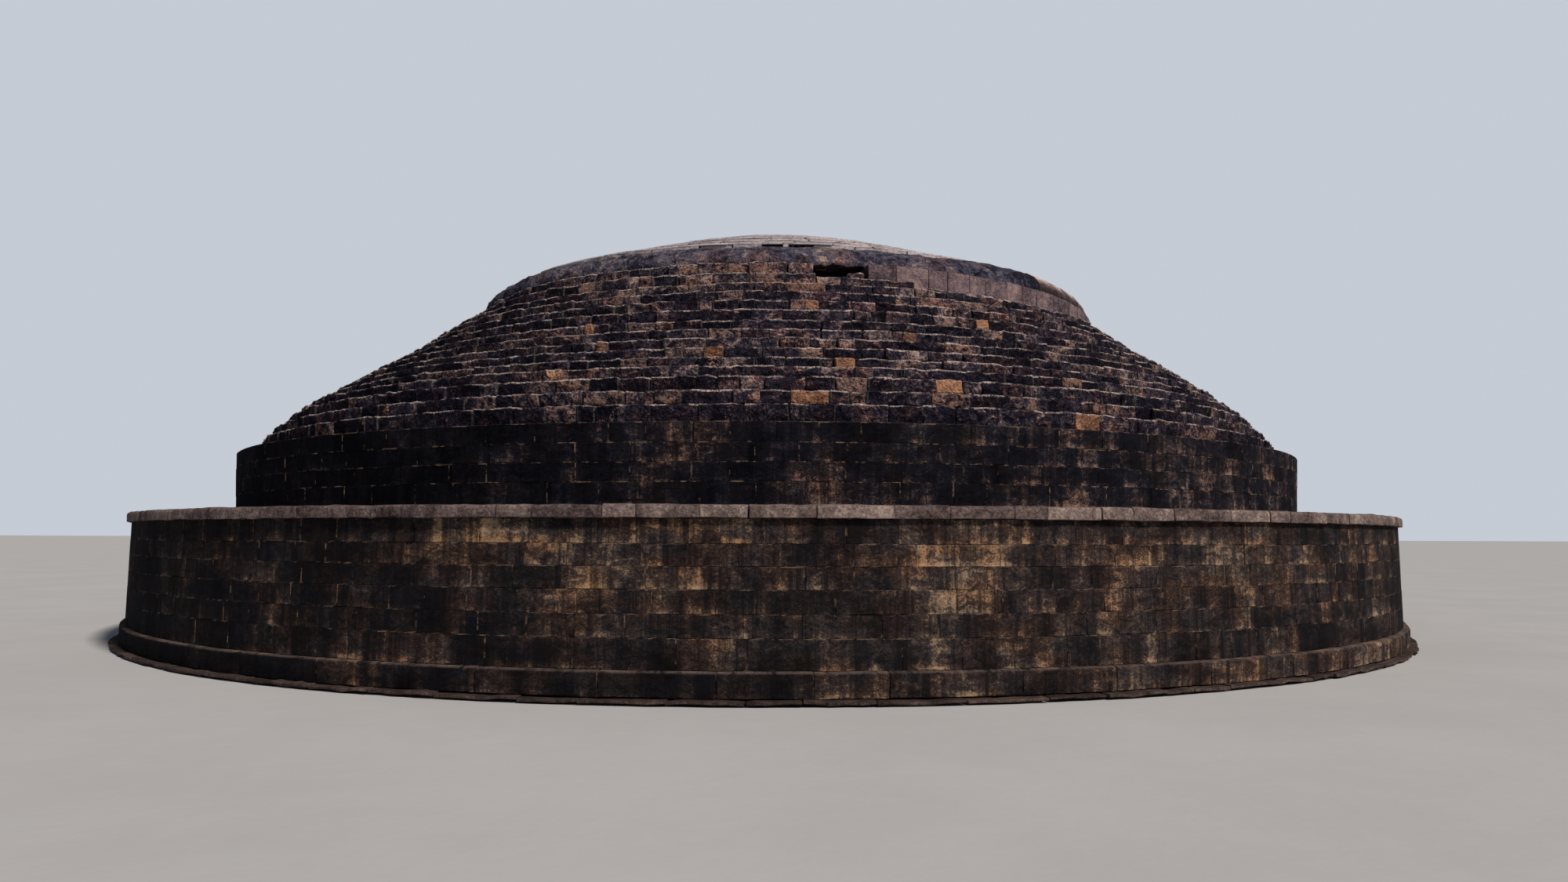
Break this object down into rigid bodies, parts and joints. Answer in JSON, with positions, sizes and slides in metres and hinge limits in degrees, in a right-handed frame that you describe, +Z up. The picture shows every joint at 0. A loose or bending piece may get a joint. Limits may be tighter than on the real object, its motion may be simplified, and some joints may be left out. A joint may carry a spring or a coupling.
{
  "type": "masonry stupa",
  "caption": "Low round stupa of solid stone masonry: a drum with a coping, a narrower drum, a stepped dome of rough courses, and a rounded cap under a low crown of slabs.",
  "frame": {"origin": "on the stupa's own axis, at ground level under the footing", "axes": "+Z up; -Y towards the pictured front; +X to the right of someone facing it"},
  "size_m": [15.36, 15.36, 5.17],
  "materials": {
    "footing_stone": "matte",
    "drum_stone": "matte",
    "coping_stone": "matte",
    "blackened_stone": "matte",
    "rough_stone": "matte",
    "facing_stone": "matte",
    "mortared_slabs": "matte"
  },
  "bodies": {
    "root": {"base_course": "drum_stone", "cap_band": "blackened_stone", "cap_low_course": "rough_stone", "coping_course": "coping_stone", "crown_mound": "mortared_slabs", "crown_rim": "mortared_slabs", "crown_skirt": "mortared_slabs", "crown_slope": "mortared_slabs", "crown_top": "mortared_slabs", "dome_course_01": "rough_stone", "dome_course_02": "rough_stone", "dome_course_03": "rough_stone", "dome_course_04": "rough_stone", "dome_course_05": "rough_stone", "dome_course_06": "rough_stone", "dome_course_07": "rough_stone", "dome_course_08": "rough_stone", "dome_course_09": "rough_stone", "dome_course_10": "rough_stone", "dome_course_11": "rough_stone", "dome_course_12": "rough_stone", "dome_course_13": "rough_stone", "dome_course_14": "rough_stone", "footing": "footing_stone", "high_facing_1": "facing_stone", "high_facing_2": "facing_stone", "high_facing_3": "facing_stone", "low_facing_1": "facing_stone", "low_facing_2": "facing_stone", "low_facing_3": "facing_stone", "low_facing_4": "facing_stone", "lower_drum_course_1": "drum_stone", "lower_drum_course_2": "drum_stone", "lower_drum_course_3": "drum_stone", "lower_drum_course_4": "drum_stone", "lower_drum_course_5": "drum_stone", "lower_drum_course_6": "drum_stone", "upper_drum_course_1": "blackened_stone", "upper_drum_course_2": "blackened_stone", "upper_drum_course_3": "blackened_stone", "upper_drum_course_4": "blackened_stone"}
  },
  "joints": []
}
